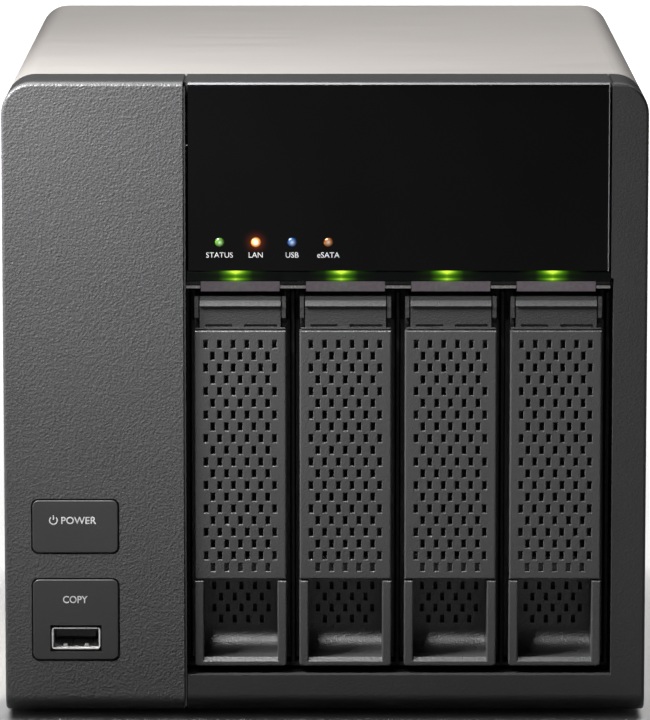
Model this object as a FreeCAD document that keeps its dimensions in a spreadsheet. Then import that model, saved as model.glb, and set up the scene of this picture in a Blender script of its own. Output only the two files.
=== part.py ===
import FreeCAD, Part
import os
import re

# Four-bay network storage enclosure. Millimetres, +Z up, front faces -Y.
# Origin: centre of the footprint, on the surface the feet stand on.

doc = FreeCAD.newDocument("nas_enclosure")
sheet = doc.addObject("Spreadsheet::Sheet", "dims")

SIZES = [
    # overall body
    ("body_width", 180.0),
    ("body_height", 178.0),
    ("body_depth", 235.0),
    ("foot_drop", 2.0),
    ("foot_radius", 7.5),
    ("corner_radius", 8.5),
    ("cover_wall", 1.0),
    ("pan_wall", 1.2),
    ("pan_flange", 14.0),
    ("rear_recess", 3.0),
    ("fit_gap", 0.15),
    ("thin_gap", 0.1),
    ("skin_gap", 0.3),
    ("over", 1.0),
    ("bite", 0.5),
    ("fixing_low", 9.0),
    ("fixing_drop", 22.0),
    ("fixing_inset", 8.0),
    ("tab_reach", 13.0),
    ("tab_half", 5.0),
    ("tab_wall", 1.5),
    ("tab_bore", 1.5),
    ("vent_inset", 12.0),
    ("vent_low", 128.0),
    ("vent_long", 26.0),
    ("vent_wide", 2.4),
    ("vent_step", 5.2),
    ("lock_inset", 16.0),
    ("lock_wide", 7.0),
    ("lock_low", 8.0),
    ("lock_tall", 3.0),
    ("pan_slot_reach", 42.0),
    ("pan_slot_wide", 3.0),
    ("pan_slot_long", 40.0),
    ("pan_slot_step", 9.0),
    ("foot_edge", 0.6),
    ("foot_inset", 20.0),
    ("foot_front", 14.0),
    ("foot_rear", 26.0),
    # front bezel
    ("bezel_depth", 26.0),
    ("bezel_wall", 2.0),
    ("face_wall", 3.0),
    ("strip_width", 9.5),
    ("sill_height", 10.6),
    ("roll_radius", 5.0),
    ("seam_width", 0.7),
    ("seam_depth", 0.5),
    ("seam_inset", 0.75),
    ("hollow_depth", 7.0),
    ("panel_setback", 0.3),
    ("panel_depth", 8.0),
    ("panel_wall", 2.5),
    ("panel_margin", 0.9),
    ("panel_foot", 7.0),
    ("panel_head", 5.0),
    ("post_radius", 1.6),
    ("post_gap", 3.5),
    ("post_low", 12.0),
    ("post_high", 66.0),
    ("edge_radius", 0.9),
    ("jamb_wall", 1.5),
    ("jamb_depth", 14.0),
    ("jamb_rise", 10.0),
    ("sill_depth", 8.8),
    ("seam_play", 0.15),
    # status window and light bar
    ("bay_top", 122.5),
    ("light_bar_height", 2.9),
    ("window_depth", 3.8),
    ("window_setback", 0.2),
    ("window_left", 0.6),
    ("window_right", 1.4),
    ("window_edge", 1.2),
    ("window_gap", 0.2),
    ("clip_low", 6.0),
    ("clip_high", 3.5),
    ("clip_inset", 2.0),
    ("peg_radius", 1.5),
    ("peg_inset", 5.0),
    ("peg_rise", 3.0),
    ("bar_depth", 5.2),
    ("bar_edge", 0.4),
    ("led_radius", 1.4),
    ("led_level", 133.6),
    ("led_pitch", 10.1),
    ("led_margin", 8.7),
    ("led_setback", 0.05),
    ("led_flange", 0.8),
    ("lamp_depth", 6.5),
    ("lamp_shift", 1.2),
    ("lamp_half", 1.5),
    ("lamp_low", 0.7),
    ("lamp_high", 2.3),
    ("lamp_board_tall", 17.0),
    # front buttons and front USB socket
    ("button_margin", 7.9),
    ("button_width", 24.0),
    ("button_gap", 0.4),
    ("button_corner", 1.8),
    ("button_edge", 0.35),
    ("button_setback", 0.1),
    ("power_height", 15.0),
    ("power_level", 45.6),
    ("copy_height", 23.0),
    ("copy_level", 15.0),
    ("button_travel", 1.0),
    ("cap_depth", 3.1),
    ("flange_wall", 1.1),
    ("flange_reach", 1.3),
    ("stem_half", 1.5),
    ("stem_gap", 0.3),
    ("switch_half", 3.0),
    ("switch_deep", 3.5),
    ("switch_knob", 1.2),
    ("switch_drop", 4.5),
    ("board_depth", 15.5),
    ("usb_wide", 13.6),
    ("usb_tall", 6.2),
    ("usb_level", 21.1),
    ("shell_wall", 0.4),
    ("shell_setback", 0.5),
    ("shell_corner", 0.8),
    ("shell_play_x", 0.4),
    ("shell_play_z", 0.7),
    ("tongue_half", 5.5),
    ("tongue_front", 2.5),
    ("tongue_low", 0.3),
    ("tongue_high", 2.1),
    ("tongue_root", 3.0),
    ("board_wall", 1.6),
    # drives
    ("drive_thick", 26.1),
    ("drive_tall", 101.6),
    ("drive_long", 147.0),
    ("drive_shift", 0.65),
    ("drive_stand_off", 3.5),
    ("screw_rear", 28.5),
    ("screw_front", 130.1),
    ("screw_side", 6.35),
    ("screw_bore", 1.6),
    ("screw_head", 2.6),
    ("head_sink", 1.2),
    ("head_play", 0.2),
    ("shank_radius", 1.45),
    ("shank_long", 5.0),
    ("drive_edge", 3.0),
    ("drive_step", 2.0),
    ("drive_lid", 1.6),
    ("drive_lid_start", 45.0),
    ("drive_lid_end", 6.0),
    ("drive_lid_rim", 5.0),
    ("drive_board_gap", 4.0),
    # bays and trays
    ("bay_play", 3.36),
    ("bay_margin", 1.12),
    ("bay_slack", 0.24),
    ("divider_wall", 0.8),
    ("cage_wall", 1.0),
    ("cage_lead", 6.0),
    ("shelf_depth", 5.5),
    ("shelf_drop", 0.7),
    ("shelf_lip_half", 11.0),
    ("shelf_lip_low", 3.3),
    ("shelf_lip_high", 0.5),
    ("shelf_bar_low", 2.5),
    ("shelf_bar_high", 1.7),
    ("shelf_bar_proud", 0.8),
    ("shelf_bar_seat", 2.5),
    ("shelf_bar_half", 3.5),
    ("tray_level", 12.7),
    ("tray_gap", 0.3),
    ("tray_wall", 1.2),
    ("rail_wall", 1.5),
    ("tray_margin", 0.85),
    ("front_wall", 1.5),
    ("tray_tail", 2.5),
    ("side_rim", 12.0),
    ("air_half", 9.0),
    ("air_bottom", 62.0),
    ("air_top", 110.0),
    ("plug_inset", 9.4),
    ("plug_wide", 5.0),
    ("plug_low", 20.0),
    ("plug_high", 57.0),
    ("air_low", 4.0),
    ("air_high", 6.0),
    ("front_gap", 3.76),
    ("front_recess", 2.5),
    ("scoop_width", 20.7),
    ("scoop_height", 24.5),
    ("scoop_depth", 13.0),
    ("scoop_sill", 2.4),
    ("scoop_radius", 7.0),
    ("lip_chamfer", 1.1),
    ("cheek_wall", 1.5),
    ("cheek_inset", 0.35),
    ("knuckle_radius", 1.9),
    ("cheek_low", 10.0),
    ("pin_fit", 0.02),
    ("cheek_gap", 0.4),
    ("frame_edge", 0.45),
    ("frame_reach", 0.1),
    ("scoop_slot_top", 20.6),
    ("scoop_slot_row", 3.2),
    # eject levers
    ("lever_wall", 2.2),
    ("lever_height", 70.8),
    ("toe_width", 22.6),
    ("toe_height", 8.8),
    ("toe_gap", 0.7),
    ("toe_recess", 0.9),
    ("lip_height", 2.6),
    ("lip_slope", 1.6),
    ("ear_wall", 1.1),
    ("ear_inset", 0.1),
    ("hook_inset", 2.25),
    ("hook_wall", 2.6),
    ("hook_low", 2.0),
    ("hook_high", 1.7),
    ("hook_radius", 2.1),
    ("lever_edge", 0.5),
    ("neck_wall", 1.2),
    ("neck_rise", 2.0),
    ("neck_drop", 1.5),
    ("rib_height", 0.35),
    ("rib_inset", 0.3),
    ("ear_clear_y", 1.2),
    ("ear_clear_z", 5.4),
    ("ear_setback", 0.7),
    ("ear_rise", 1.0),
    ("toe_slot_low", 0.25),
    ("toe_slot_high", 0.95),
    ("toe_slot_deep", 0.7),
    ("slot_top", 3.9),
    ("pivot_depth", 2.3),
    ("pivot_drop", 1.9),
    ("pin_radius", 1.0),
    ("slot_wide", 1.15),
    ("slot_tall", 2.25),
    ("slot_bevel", 0.22),
    ("slot_column", 3.85),
    ("slot_row", 3.34),
    # cooling fan
    ("fan_size", 92.0),
    ("fan_thick", 25.0),
    ("fan_level", 66.0),
    ("fan_bore", 44.0),
    ("fan_hub", 17.5),
    ("fan_hole", 41.25),
    ("guard_wire", 0.8),
    ("guard_ring", 12.0),
    ("guard_step", 7.5),
    ("fan_strut", 2.2),
    ("fan_corner", 4.0),
    ("fan_plate", 3.5),
    ("fan_screw_bore", 2.1),
    ("rotor_front", 2.0),
    ("rotor_back", 4.2),
    ("rotor_edge", 1.5),
    ("blade_wall", 1.6),
    ("blade_gap", 1.2),
    ("blade_inset", 1.0),
    ("spoke_wide", 1.1),
    ("spoke_thick", 1.4),
    ("washer_radius", 3.8),
    ("screw_cap_radius", 3.4),
    ("screw_shaft", 1.95),
    # power supply
    ("psu_wide", 81.5),
    ("psu_long", 150.0),
    ("psu_tall", 40.5),
    ("psu_level", 125.0),
    ("psu_wall", 0.8),
    ("psu_bore", 18.8),
    ("psu_rim", 2.5),
    ("psu_hub", 10.5),
    ("psu_seat", 9.5),
    ("psu_strut", 1.1),
    ("psu_strut_reach", 20.0),
    ("psu_blade_gap", 0.8),
    ("psu_vent_wide", 2.4),
    ("psu_vent_reach", 30.0),
    ("psu_vent_rim", 8.0),
    ("psu_vent_step", 6.0),
    ("psu_fan_inset", 24.0),
    ("inlet_inset", 21.0),
    ("inlet_half", 13.5),
    ("inlet_high", 9.9),
    ("inlet_gap", 0.3),
    ("inlet_deep", 20.0),
    ("inlet_rim", 2.0),
    ("inlet_wall", 1.5),
    # main board
    ("board_low", 14.0),
    ("board_high", 136.0),
    ("board_front", 60.0),
    ("fin_step", 4.28),
    ("fin_wall", 1.2),
    ("sink_front", 16.0),
    ("sink_rear", 28.0),
    ("sink_low", 48.0),
    ("sink_tall", 44.0),
    ("sink_base", 3.0),
    ("sink_rise", 16.0),
    ("chip_rise", 2.0),
    ("post_thick", 2.5),
    ("socket_gap", 0.3),
    ("socket_proud", 0.5),
]
ALIASES = set(name for name, size in SIZES)
for row, (name, size) in enumerate(SIZES, start=1):
    sheet.set("A%d" % row, name)
    sheet.set("B%d" % row, repr(size))
    sheet.setAlias("B%d" % row, name)
doc.recompute()

X_AXIS = FreeCAD.Vector(1, 0, 0)
Y_AXIS = FreeCAD.Vector(0, 1, 0)
Z_AXIS = FreeCAD.Vector(0, 0, 1)
TURN = {
    "X": FreeCAD.Rotation(Y_AXIS, 90),
    "Y": FreeCAD.Rotation(X_AXIS, -90),
    "Z": FreeCAD.Rotation(),
}
SIDES = (-1, 1)
BAYS = range(4)

# Reference positions, as expressions over the sheet.
LEFT = "(-body_width / 2)"
RIGHT = "(body_width / 2)"
FRONT = "(-body_depth / 2)"
REAR = "(body_depth / 2)"
TOP = "(foot_drop + body_height)"
BEFORE = f"({FRONT} - over)"
SKIN = f"({FRONT} + bezel_depth)"
PLATE_IN = f"({REAR} - rear_recess - cover_wall)"
PLATE_OUT = f"({REAR} - rear_recess)"

PITCH = "(drive_thick + bay_play)"
BAY_RIGHT = "(body_width / 2 - strip_width)"
BAY_LEFT = f"({BAY_RIGHT} - bay_margin - 4 * {PITCH} - bay_slack)"
CAGE_RIGHT = f"({BAY_RIGHT} - bay_margin + divider_wall / 2)"
CAGE_LEFT = f"({BAY_RIGHT} - bay_margin - 4 * {PITCH} - divider_wall / 2)"
CAGE_MID = f"({BAY_RIGHT} - bay_margin - 2 * {PITCH})"

TRAY_FRONT = f"({FRONT} + front_recess)"
TRAY_WALL = f"({TRAY_FRONT} + scoop_depth)"
TRAY_TOP = "(tray_level + drive_tall + 2 * tray_gap + 2 * rail_wall)"
FACE_HALF = f"(({PITCH} - front_gap) / 2)"
DRIVE_FRONT = f"({TRAY_WALL} + drive_stand_off)"
DRIVE_REAR = f"({DRIVE_FRONT} + drive_long)"
CAGE_FRONT = f"({TRAY_WALL} - cage_lead)"
CAGE_REAR = f"({DRIVE_REAR} + drive_stand_off)"

LEVER_FOOT = "(tray_level + scoop_height + 0.4)"
LEVER_TOP = f"({LEVER_FOOT} + lever_height)"
LEVER_BACK = f"({TRAY_FRONT} + lever_wall)"
PIVOT_Y = f"({LEVER_BACK} + pivot_depth)"
PIVOT_Z = f"(foot_drop + {LEVER_TOP} - pivot_drop)"

BUTTON_LEFT = f"({LEFT} + button_margin)"
BUTTON_MID = f"({BUTTON_LEFT} + button_width / 2)"
BUTTON_RIGHT = f"({BUTTON_LEFT} + button_width)"
POWER_SWITCH = "power_level + power_height / 2"
COPY_SWITCH = "copy_level + copy_height - switch_drop"
PANEL_FRONT = f"({FRONT} + panel_setback)"
PANEL_RIGHT = f"({BAY_LEFT} - panel_margin)"
BOARD_Y = f"({FRONT} + board_depth)"
LAMP_BOARD_Y = f"({FRONT} + lamp_depth)"

MAIN_X = f"({CAGE_LEFT} - 4.54)"
INLET_X = "(psu_wide / 2 - inlet_inset)"
PSU_FAN_X = "(-psu_wide / 2 + psu_fan_inset)"
FIXING_LEVELS = ("fixing_low", "body_height - fixing_drop")

# Side-hole positions of a 3.5 inch drive.
SCREW_Y = (f"{DRIVE_REAR} - screw_rear", f"{DRIVE_REAR} - screw_front")
SCREW_X = "(-drive_thick / 2 + drive_shift + screw_side)"

# Rear sockets on the main board: height off the board, width, level.
NETWORK_SOCKETS = (("13.5", "16", "32"), ("13.5", "16", "52"))
USB_SOCKETS = (("7", "14.4", "71"), ("7", "14.4", "88"))
ESATA_SOCKETS = (("5.6", "17", "106"), ("5.6", "17", "125"))

# Parts on the main board: place along Y, level, length, height, rise off the board.
BOARD_PARTS = (
    (6, 70, 32, 32, 2),
    (-34, 95, 60, 4, 8),
    (-34, 105, 60, 4, 8),
    (51, 30, 18, 18, 1.6),
    (-29, 40, 24, 12, 6),
    (66, 110, 14, 14, 1.4),
    (-44, 22, 10, 8, 10),
)

NODES = []


def bind(text):
    """Turn sheet aliases in an expression into references to the sheet."""

    def linked(word):
        return "dims." + word.group(0) if word.group(0) in ALIASES else word.group(0)

    return re.sub(r"[A-Za-z_]\w*", linked, text)


def value(text):
    """Number an expression has with the sheet as it stands."""
    return float(sheet.evalExpression(text))


def up(level):
    """Height above the floor of a level measured from the underside of the body."""
    return f"(foot_drop + {level})"


def around(middle, half):
    """Span of twice half about a middle."""
    return (f"{middle} - ({half})", f"{middle} + ({half})")


def flank(side, outer, inner):
    """Span between two distances from the middle, to the left (-1) or right (1)."""
    ends = (f"{side} * ({outer})", f"{side} * ({inner})")
    return ends if side < 0 else ends[::-1]


def corners(reach):
    """The four places at plus and minus reach on two axes."""
    return [(f"{across} * {reach}", f"{along} * {reach}") for across in SIDES for along in SIDES]


def bay_mid(index):
    """Middle of a bay, counted 0 to 3 from the left."""
    return f"({BAY_RIGHT} - bay_margin - {3.5 - index} * {PITCH})"


def bay_edge(index):
    """Middle of a divider, counted 0 to 4 from the left."""
    return f"({BAY_RIGHT} - bay_margin - {4 - index} * {PITCH})"


def set_base(thing, x, y, z):
    for axis, text in zip("xyz", (x, y, z)):
        thing.setExpression("Placement.Base." + axis, bind(text))


def node(label, x="0", y="0", z="0"):
    """Start one named piece, placed at x, y, z."""
    piece = doc.addObject("PartDesign::Body", label)
    piece.Label = label
    piece.AllowCompound = True
    set_base(piece, x, y, z)
    NODES.append(piece)
    return piece


def block(piece, x, y, z, cut=False):
    """Add or cut a box given as (low, high) pairs."""
    kind = "Subtractive" if cut else "Additive"
    feature = piece.newObject(f"PartDesign::{kind}Box", "box")
    for size, (low, high) in zip(("Length", "Width", "Height"), (x, y, z)):
        feature.setExpression(size, bind(f"({high}) - ({low})"))
    set_base(feature, x[0], y[0], z[0])
    return feature


def rod(piece, axis, radius, at, span, cut=False):
    """Add or cut a round bar along an axis; at is its centre on the other two axes."""
    kind = "Subtractive" if cut else "Additive"
    feature = piece.newObject(f"PartDesign::{kind}Cylinder", "rod")
    feature.Placement = FreeCAD.Placement(FreeCAD.Vector(), TURN[axis])
    feature.setExpression("Radius", bind(radius))
    feature.setExpression("Height", bind(f"({span[1]}) - ({span[0]})"))
    if axis == "X":
        set_base(feature, span[0], at[0], at[1])
    elif axis == "Y":
        set_base(feature, at[0], span[0], at[1])
    else:
        set_base(feature, at[0], at[1], span[0])
    return feature


def wedge(piece, cut, x, y, z, far_x, far_z):
    """Add or cut a wedge: x and z at its low y end, far_x and far_z at its high y end."""
    kind = "Subtractive" if cut else "Additive"
    feature = piece.newObject(f"PartDesign::{kind}Wedge", "wedge")
    names = ("Xmin", "Xmax", "Ymin", "Ymax", "Zmin", "Zmax", "X2min", "X2max", "Z2min", "Z2max")
    for name, text in zip(names, (*x, *y, *z, *far_x, *far_z)):
        feature.setExpression(name, bind(text))
    return feature


def taper_up(piece, x, low_y, high_y, z):
    """Add a bar that tapers upwards: low_y and high_y are its y spans at both ends."""
    low_z, high_z = [(f"-({far})", f"-({close})") for close, far in (low_y, high_y)]
    feature = wedge(piece, False, x, z, low_z, x, high_z)
    feature.Placement = FreeCAD.Placement(FreeCAD.Vector(), FreeCAD.Rotation(X_AXIS, 90))
    return feature


def dress_edges(piece, kind, size_name, pick, size):
    """Apply an edge feature to every edge of the piece that pick accepts."""
    doc.recompute()
    tip = piece.Tip
    picked = ["Edge%d" % number for number, edge in enumerate(tip.Shape.Edges, start=1) if pick(edge)]
    feature = piece.newObject("PartDesign::" + kind, kind.lower())
    feature.Base = (tip, picked)
    feature.setExpression(size_name, bind(size))


def round_edges(piece, pick, radius):
    dress_edges(piece, "Fillet", "Radius", pick, radius)


def bevel_edges(piece, pick, size):
    dress_edges(piece, "Chamfer", "Size", pick, size)


def runs(edge, axis):
    """True when a straight edge lies along an axis."""
    if len(edge.Vertexes) != 2:
        return False
    step = edge.Vertexes[1].Point - edge.Vertexes[0].Point
    other = [abs(getattr(step, a)) for a in "xyz" if a != axis]
    return max(other) < 1e-4 and step.Length > 1e-3


def near(edge, **where):
    """True when the middle of an edge has the given coordinates."""
    mid = edge.BoundBox.Center
    return all(abs(getattr(mid, a) - value(text)) < 1e-3 for a, text in where.items())


def in_plane(edge, axis, text):
    """True when the whole edge lies in a plane square to an axis."""
    low = getattr(edge.BoundBox, axis.upper() + "Min")
    high = getattr(edge.BoundBox, axis.upper() + "Max")
    return abs(low - value(text)) < 1e-3 and abs(high - value(text)) < 1e-3


def inside(number, low, high):
    return value(low) < number < value(high)


def own_axis(piece, axis):
    """One of the piece's own axes, in the form that a pattern takes."""
    found = [part for part in piece.Origin.OriginFeatures if part.Role == axis + "_Axis"]
    return (found[0], [""])


def repeat(piece, features, axis, step, count):
    """Repeat features along one of the piece's own axes."""
    pattern = piece.newObject("PartDesign::LinearPattern", "pattern")
    pattern.Originals = features
    pattern.Direction = own_axis(piece, axis)
    pattern.setExpression("Length", bind(f"({step}) * {count - 1}"))
    pattern.Occurrences = count
    piece.Tip = pattern
    return pattern


def repeat_grid(piece, features, across, up_step, columns, rows):
    """Repeat features in columns along X and rows along Z."""
    pattern = repeat(piece, features, "X", across, columns)
    pattern.Direction2 = own_axis(piece, "Z")
    pattern.setExpression("Length2", bind(f"({up_step}) * {rows - 1}"))
    pattern.Occurrences2 = rows


def spin(piece, feature, axis, count):
    """Repeat a feature evenly round one of the piece's own axes."""
    pattern = piece.newObject("PartDesign::PolarPattern", "pattern")
    pattern.Originals = [feature]
    pattern.Axis = own_axis(piece, axis)
    pattern.Angle = 360
    pattern.Occurrences = count
    piece.Tip = pattern


def arch(piece, inset, y, low, cut=False):
    """Add or cut the body outline, inset all round, with its two top corners rounded."""
    radius = f"(corner_radius - {inset})"
    half = f"(body_width / 2 - {inset})"
    high = f"({TOP} - {inset})"
    spring = f"({high} - {radius})"
    block(piece, around("0", half), y, (low, spring), cut)
    block(piece, around("0", f"{half} - {radius}"), y, (f"{spring} - thin_gap", high), cut)
    for side in SIDES:
        rod(piece, "Y", radius, (f"{side} * ({half} - {radius})", spring), y, cut)


def fixing_places():
    """Places of the four screws that hold the cover to the rear panel."""
    reach = "(body_width / 2 - fixing_inset)"
    return [(f"{side} * {reach}", up(level)) for side in SIDES for level in FIXING_LEVELS]


def make_cover():
    """Folded sheet over the top and both sides, with screw tabs at the rear."""
    cover = node("top_cover")
    arch(cover, "0", (f"{SKIN} + skin_gap", REAR), "foot_drop")
    arch(cover, "cover_wall", (f"{SKIN} - over", f"{REAR} + over"), "foot_drop - over", cut=True)
    for side in SIDES:
        tab = flank(side, "body_width / 2 - cover_wall / 2", "body_width / 2 - tab_reach")
        for level in FIXING_LEVELS:
            block(cover, tab, (f"{PLATE_IN} - tab_wall", PLATE_IN), around(up(level), "tab_half"))
    for place in fixing_places():
        rod(cover, "Y", "tab_bore", place, (f"{PLATE_IN} - 2 * tab_wall", f"{PLATE_IN} + over"), cut=True)


def make_pan():
    """Bottom sheet with side flanges and air slots."""
    pan = node("base_pan")
    half = "(body_width / 2 - cover_wall - fit_gap)"
    front = f"{SKIN} + skin_gap"
    block(pan, around("0", half), (front, PLATE_IN), ("foot_drop", up("pan_wall")))
    for side in SIDES:
        block(pan, flank(side, half, f"{half} - pan_wall"), (front, f"{PLATE_IN} - tab_wall - bite"),
              (up("pan_wall"), up("pan_flange")))
    first = f"{CAGE_MID} - pan_slot_reach"
    slot = block(pan, (first, f"{first} + pan_slot_wide"), ("-pan_slot_long", "0"),
                 ("foot_drop - over", up("pan_wall + over")), cut=True)
    repeat(pan, [slot], "X", "pan_slot_step", 10)


def make_rear_panel():
    """Rear sheet with the fan, power, socket, lock and vent cut-outs."""
    rear = node("rear_panel")
    deep = (f"{PLATE_IN} - over", f"{PLATE_OUT} + over")
    arch(rear, "(cover_wall + fit_gap)", (PLATE_IN, PLATE_OUT), "foot_drop + thin_gap")
    rod(rear, "Y", "fan_bore", (CAGE_MID, up("fan_level")), deep, cut=True)
    for x, z in corners("fan_hole"):
        rod(rear, "Y", "fan_screw_bore", (f"{CAGE_MID} + {x}", up(f"fan_level + {z}")), deep, cut=True)
    block(rear, around(CAGE_MID, "psu_wide / 2 - psu_rim"), deep,
          (up("psu_level + psu_rim"), up("psu_level + psu_tall - psu_rim")), cut=True)
    for place in fixing_places():
        rod(rear, "Y", "tab_bore + 2 * thin_gap", place, deep, cut=True)
    for tall, wide, level in NETWORK_SOCKETS + USB_SOCKETS + ESATA_SOCKETS:
        block(rear, (f"{MAIN_X} - {tall} - socket_gap", f"{MAIN_X} + socket_gap"), deep,
              around(up(level), f"{wide} / 2 + socket_gap"), cut=True)
    lock = f"{LEFT} + lock_inset"
    block(rear, (lock, f"{lock} + lock_wide"), deep, (up("lock_low"), up("lock_low + lock_tall")), cut=True)
    vent_left = f"{LEFT} + vent_inset"
    vent = block(rear, (vent_left, f"{vent_left} + vent_long"), deep,
                 (up("vent_low"), up("vent_low + vent_wide")), cut=True)
    repeat(rear, [vent], "Z", "vent_step", 7)


def make_bezel():
    """Outer ring of the front with the right strip and the bottom bar in one moulding."""
    bezel = node("bezel_frame")
    block(bezel, (LEFT, RIGHT), (FRONT, SKIN), ("foot_drop", TOP))
    round_edges(bezel, lambda e: runs(e, "x") and near(e, y=FRONT, z="foot_drop"), "roll_radius")
    round_edges(bezel, lambda e: runs(e, "y") and near(e, z=TOP), "corner_radius")
    arch(bezel, "bezel_wall", (f"{FRONT} + 2 * face_wall", f"{SKIN} + over"), "foot_drop + bezel_wall",
         cut=True)
    # room for the control panel, the window and the bays
    block(bezel, (f"{LEFT} - over", BAY_LEFT), (BEFORE, f"{FRONT} + panel_depth + thin_gap"),
          ("foot_drop - over", f"{TOP} + over"), cut=True)
    hollow = (BEFORE, f"{FRONT} + hollow_depth")
    left = f"{BAY_LEFT} - thin_gap"
    beside = (left, f"{BAY_RIGHT} - seam_width")
    block(bezel, beside, (BEFORE, f"{FRONT} + window_depth + bite"), (up("bay_top"), f"{TOP} + over"),
          cut=True)
    block(bezel, beside, hollow, (up("bay_top"), f"{TOP} - face_wall"), cut=True)
    block(bezel, (left, BAY_RIGHT), hollow, (up("sill_height"), up("bay_top + over")), cut=True)
    # jambs and sill round the bays
    jamb = f"{BAY_RIGHT} + jamb_wall"
    block(bezel, (BAY_RIGHT, jamb), (f"{FRONT} + bezel_wall", f"{FRONT} + jamb_depth"),
          (up("sill_height - over"), up("bay_top + jamb_rise")))
    block(bezel, (BAY_LEFT, jamb), (f"{FRONT} + bezel_wall", f"{FRONT} + sill_depth"),
          (up("sill_height - jamb_wall"), up("sill_height")))
    block(bezel, (f"{PANEL_RIGHT} + seam_play", f"{BAY_LEFT} - 2 * thin_gap"),
          (f"{FRONT} + bite", f"{FRONT} + jamb_depth"),
          ("foot_drop + bezel_wall - bite", f"{TOP} - bezel_wall + bite"))
    for middle in (f"{BAY_LEFT} - panel_margin / 2", f"{BAY_RIGHT} - seam_inset"):
        block(bezel, around(middle, "seam_width / 2"), (BEFORE, f"{SKIN} + over"),
              (f"{TOP} - seam_depth", f"{TOP} + over"), cut=True)

    def on_rim(edge):
        box = edge.BoundBox
        at_corner = (box.XMin > value(f"{RIGHT} - corner_radius - thin_gap")
                     and box.ZMin > value(f"{TOP} - corner_radius - thin_gap"))
        return in_plane(edge, "y", FRONT) and (near(edge, x=RIGHT) or near(edge, z=TOP) or at_corner)

    round_edges(bezel, on_rim, "edge_radius")


def make_control_panel():
    """Grained left column of the front, with button openings and board posts."""
    panel = node("control_panel")
    back = f"{FRONT} + panel_depth"
    block(panel, (LEFT, PANEL_RIGHT), (PANEL_FRONT, back), ("foot_drop", TOP))
    round_edges(panel, lambda e: runs(e, "x") and near(e, y=PANEL_FRONT, z="foot_drop"),
                "roll_radius - panel_setback")
    round_edges(panel, lambda e: runs(e, "y") and near(e, x=LEFT, z=TOP), "corner_radius")
    roll_top = value("foot_drop + roll_radius + over")
    round_edges(panel, lambda e: in_plane(e, "y", PANEL_FRONT) and not near(e, x=PANEL_RIGHT)
                and e.BoundBox.ZMax > roll_top, "edge_radius")
    block(panel, (f"{LEFT} + bezel_wall", f"{PANEL_RIGHT} - bezel_wall"),
          (f"{PANEL_FRONT} + panel_wall", f"{back} + over"), (up("panel_foot"), f"{TOP} - panel_head"),
          cut=True)
    for low, tall in (("power_level", "power_height"), ("copy_level", "copy_height")):
        block(panel, (f"{BUTTON_LEFT} - button_gap", f"{BUTTON_RIGHT} + button_gap"), (BEFORE, back),
              (up(f"{low} - button_gap"), up(f"{low} + {tall} + button_gap")), cut=True)

        def at_opening(edge):
            box = edge.BoundBox
            return (runs(edge, "y") and edge.Length < value("panel_wall + bite")
                    and inside(box.XMin, f"{BUTTON_LEFT} - over", f"{BUTTON_RIGHT} + over")
                    and inside(box.ZMin, up(f"{low} - over"), up(f"{low} + {tall} + over")))

        round_edges(panel, at_opening, "button_corner + 2 * thin_gap")
    for x in (f"{BUTTON_LEFT} - post_gap", f"{BUTTON_RIGHT} + post_gap"):
        for level in ("post_low", "post_high"):
            rod(panel, "Y", "post_radius", (x, up(level)), (f"{PANEL_FRONT} + panel_wall - bite", BOARD_Y))


def make_button(label, low, tall, switch):
    """Push button: cap with a hidden flange and a stem towards its switch."""
    button = node(label)
    face = f"{FRONT} + button_setback"
    rim = f"{FRONT} + cap_depth"
    seat = f"{rim} + flange_wall"
    block(button, (BUTTON_LEFT, BUTTON_RIGHT), (face, rim), (up(low), up(f"{low} + {tall}")))
    round_edges(button, lambda e: runs(e, "y"), "button_corner")
    round_edges(button, lambda e: in_plane(e, "y", face), "button_edge")
    block(button, (f"{BUTTON_LEFT} - flange_reach", f"{BUTTON_RIGHT} + flange_reach"), (rim, seat),
          (up(f"{low} - flange_reach"), up(f"{low} + {tall} + flange_reach")))
    stem_end = f"{BOARD_Y} - switch_deep - button_travel - stem_gap"
    block(button, around(BUTTON_MID, "stem_half"), (seat, stem_end), around(up(switch), "stem_half"))
    return button


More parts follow.
